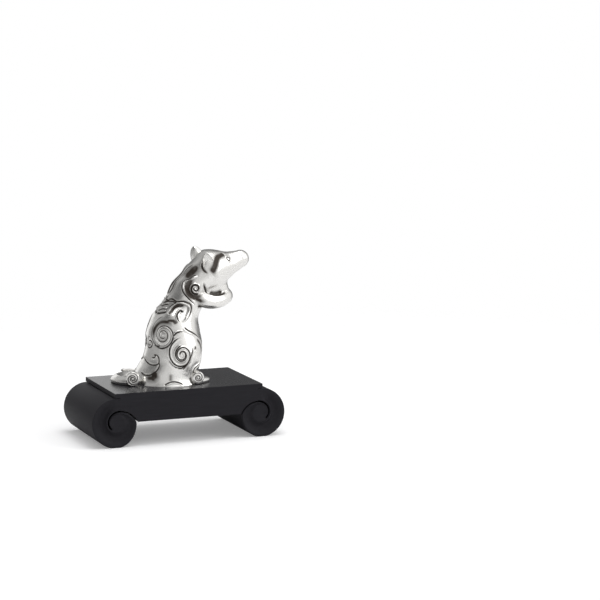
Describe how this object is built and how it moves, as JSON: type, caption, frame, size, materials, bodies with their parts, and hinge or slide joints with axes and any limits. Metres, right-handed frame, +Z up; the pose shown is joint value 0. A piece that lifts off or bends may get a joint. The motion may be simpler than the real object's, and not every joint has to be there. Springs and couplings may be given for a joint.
{
  "type": "rat figurine",
  "caption": "Sitting rat with raised scrollwork, cast in bright metal with dark recesses, screwed to a black scroll-ended wooden stand.",
  "frame": {"origin": "middle of the stand's underside, on the surface that it stands on", "axes": "+X the way the rat faces and the stand's length, +Y across the stand to the rat's left, +Z up"},
  "size_m": [0.12, 0.0606, 0.1117],
  "materials": {
    "pewter": "satin",
    "black_lacquer": "satin",
    "dowel_wood": "matte",
    "screw_steel": "satin"
  },
  "bodies": {
    "root": {"body_casting": "pewter", "head_casting": "pewter", "tail": "pewter", "right_hind_foot": "pewter", "left_hind_foot": "pewter", "right_ear": "pewter", "left_ear": "pewter", "stand_beam": "black_lacquer", "front_scroll": "black_lacquer", "rear_scroll": "black_lacquer", "front_dowel_right": "dowel_wood", "front_dowel_left": "dowel_wood", "rear_dowel_right": "dowel_wood", "rear_dowel_left": "dowel_wood", "rear_fixing_screw": "screw_steel", "rear_washer": "screw_steel", "front_fixing_screw": "screw_steel", "front_washer": "screw_steel"}
  },
  "joints": []
}
